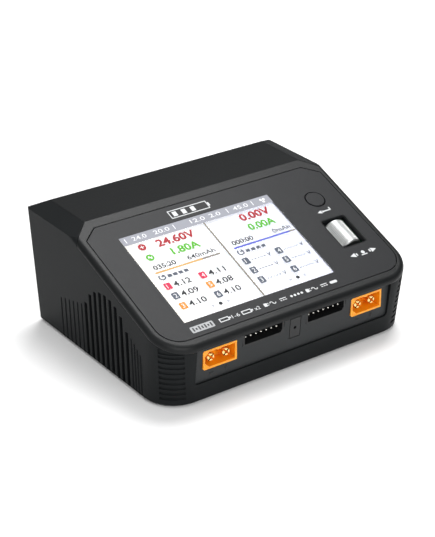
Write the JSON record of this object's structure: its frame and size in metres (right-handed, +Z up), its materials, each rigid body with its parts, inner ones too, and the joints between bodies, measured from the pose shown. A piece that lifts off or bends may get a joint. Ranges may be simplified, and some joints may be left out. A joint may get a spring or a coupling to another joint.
{
  "type": "balance battery charger",
  "caption": "Desktop balance charger with a sloped colour screen, push button, thumb roller, amber power sockets and balance sockets on the front.",
  "frame": {"origin": "middle of the case's footprint, on the surface that the feet stand on", "axes": "+Z up, -Y to the front with the sockets, +X to the right seen from the front"},
  "size_m": [0.125, 0.1018, 0.0542],
  "materials": {
    "shell_plastic": "fine moulded texture",
    "cover_plastic": "coarse spark-eroded texture",
    "fascia": "smooth satin film",
    "panel_plastic": "satin",
    "lens": "clear, hard coated",
    "screen": "lit liquid crystal screen",
    "white_plastic": "satin",
    "button_plastic": "satin",
    "roller_metal": "fine grooves, satin anodised",
    "steel": "plated",
    "gold_contact": "gold plated, polished",
    "amber_nylon": "satin nylon",
    "black_nylon": "satin nylon",
    "pin_metal": "tin plated",
    "rubber": "matt",
    "circuit_board": "solder resist",
    "ferrite": "pressed and sintered",
    "winding_tape": "taped copper wire",
    "capacitor_sleeve": "shrink sleeve",
    "heat_sink": "anodised, extruded",
    "epoxy": "moulded compound",
    "fuse_glass": "clear tube",
    "ribbon_film": "polyimide film"
  },
  "bodies": {
    "case": {"lower_shell": "shell_plastic", "upper_cover": "cover_plastic", "overlay_panel": "fascia", "port_panel": "panel_plastic", "sounder_insert": "black_nylon", "rubber_feet": "rubber", "case_screws": "steel", "lcd_lens": "lens", "lcd_panel": "screen", "backlight_frame": "white_plastic", "display_board": "circuit_board", "display_screws": "steel", "button_switch": "epoxy", "roller_bracket": "steel", "press_switch": "epoxy", "port_board": "circuit_board", "sounder": "black_nylon", "board_link": "black_nylon", "mains_inlet": "black_nylon", "mains_inlet_blades": "pin_metal", "dc_input_housing": "amber_nylon", "dc_input_pins": "gold_contact", "usb_c_shell": "steel", "usb_c_tongue": "black_nylon", "fan_frame": "black_nylon", "charge_board": "circuit_board", "supply_board": "circuit_board", "board_screws": "steel", "power_inductors": "ferrite", "output_capacitors": "capacitor_sleeve", "heat_sinks": "heat_sink", "power_transistors": "epoxy", "control_chip": "epoxy", "transformer_core": "ferrite", "transformer_winding": "winding_tape", "bulk_capacitors": "capacitor_sleeve", "line_choke": "ferrite", "mains_fuse": "fuse_glass", "supply_heat_sink": "heat_sink", "display_ribbon": "ribbon_film", "left_power_housing": "amber_nylon", "left_power_pins": "gold_contact", "left_balance_header": "black_nylon", "left_balance_pins": "pin_metal", "right_power_housing": "amber_nylon", "right_power_pins": "gold_contact", "right_balance_header": "black_nylon", "right_balance_pins": "pin_metal"},
    "mode_button": {"mode_button": "button_plastic", "button_plunger": "black_nylon"},
    "roller_carriage": {"roller_carriage": "black_nylon", "roller_encoder": "epoxy", "press_plunger": "black_nylon"},
    "roller": {"roller": "roller_metal", "roller_axle": "steel"},
    "fan_rotor": {"fan_rotor": "black_nylon"}
  },
  "joints": [
    {"name": "mode_button_press", "type": "slide", "parent": "case", "child": "mode_button", "axis": [0, 0.3584, -0.9336], "range_m": [0, 0.0004], "stiffness_N_per_m": 1500},
    {"name": "roller_press", "type": "slide", "parent": "case", "child": "roller_carriage", "axis": [0, 0.3584, -0.9336], "range_m": [0, 0.0005], "stiffness_N_per_m": 1500},
    {"name": "roller_turn", "type": "hinge", "parent": "roller_carriage", "child": "roller", "pos_m": [0.0459, -0.02081, 0.03381], "axis": [0, 0.9336, 0.3584], "continuous": true},
    {"name": "fan_turn", "type": "hinge", "parent": "case", "child": "fan_rotor", "pos_m": [-0.0545, -0.00647, 0.0187], "axis": [1, 0, 0], "continuous": true}
  ]
}
